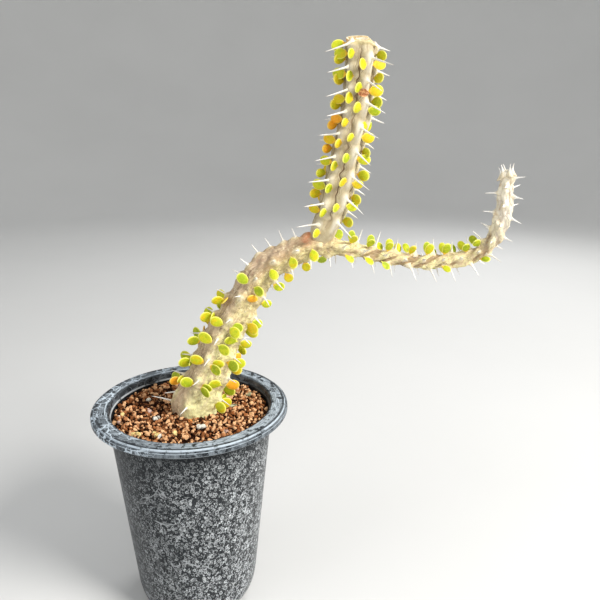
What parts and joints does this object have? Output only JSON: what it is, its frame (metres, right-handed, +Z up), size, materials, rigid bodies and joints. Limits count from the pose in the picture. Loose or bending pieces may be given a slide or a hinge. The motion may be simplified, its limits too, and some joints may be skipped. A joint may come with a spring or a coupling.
{
  "type": "potted alluaudia",
  "caption": "Spiny grey succulent in a round nursery pot: an arching stem, an upright branch cut flat at its top, and small round leaves in pairs.",
  "frame": {"origin": "centre of the flat pad under the pot, on the pot's axis", "axes": "+Z up the pot's axis; -Y is the side seen in the picture; +X is the side the long stem arches over to"},
  "size_m": [0.253, 0.12, 0.3466],
  "materials": {
    "pot_plastic": "charcoal injection-moulded plastic, half gloss, with a bloom of dried water marks",
    "clay_granules": null,
    "grey_bark": "dull grey-tan bark with white spines and yellow-green leaves",
    "pale_bark": "dull pale cream bark with white spines and yellow-green leaves"
  },
  "bodies": {
    "root": {"pot": "pot_plastic", "soil": "clay_granules", "main_stem": "grey_bark", "upright_branch": "pale_bark"}
  },
  "joints": []
}
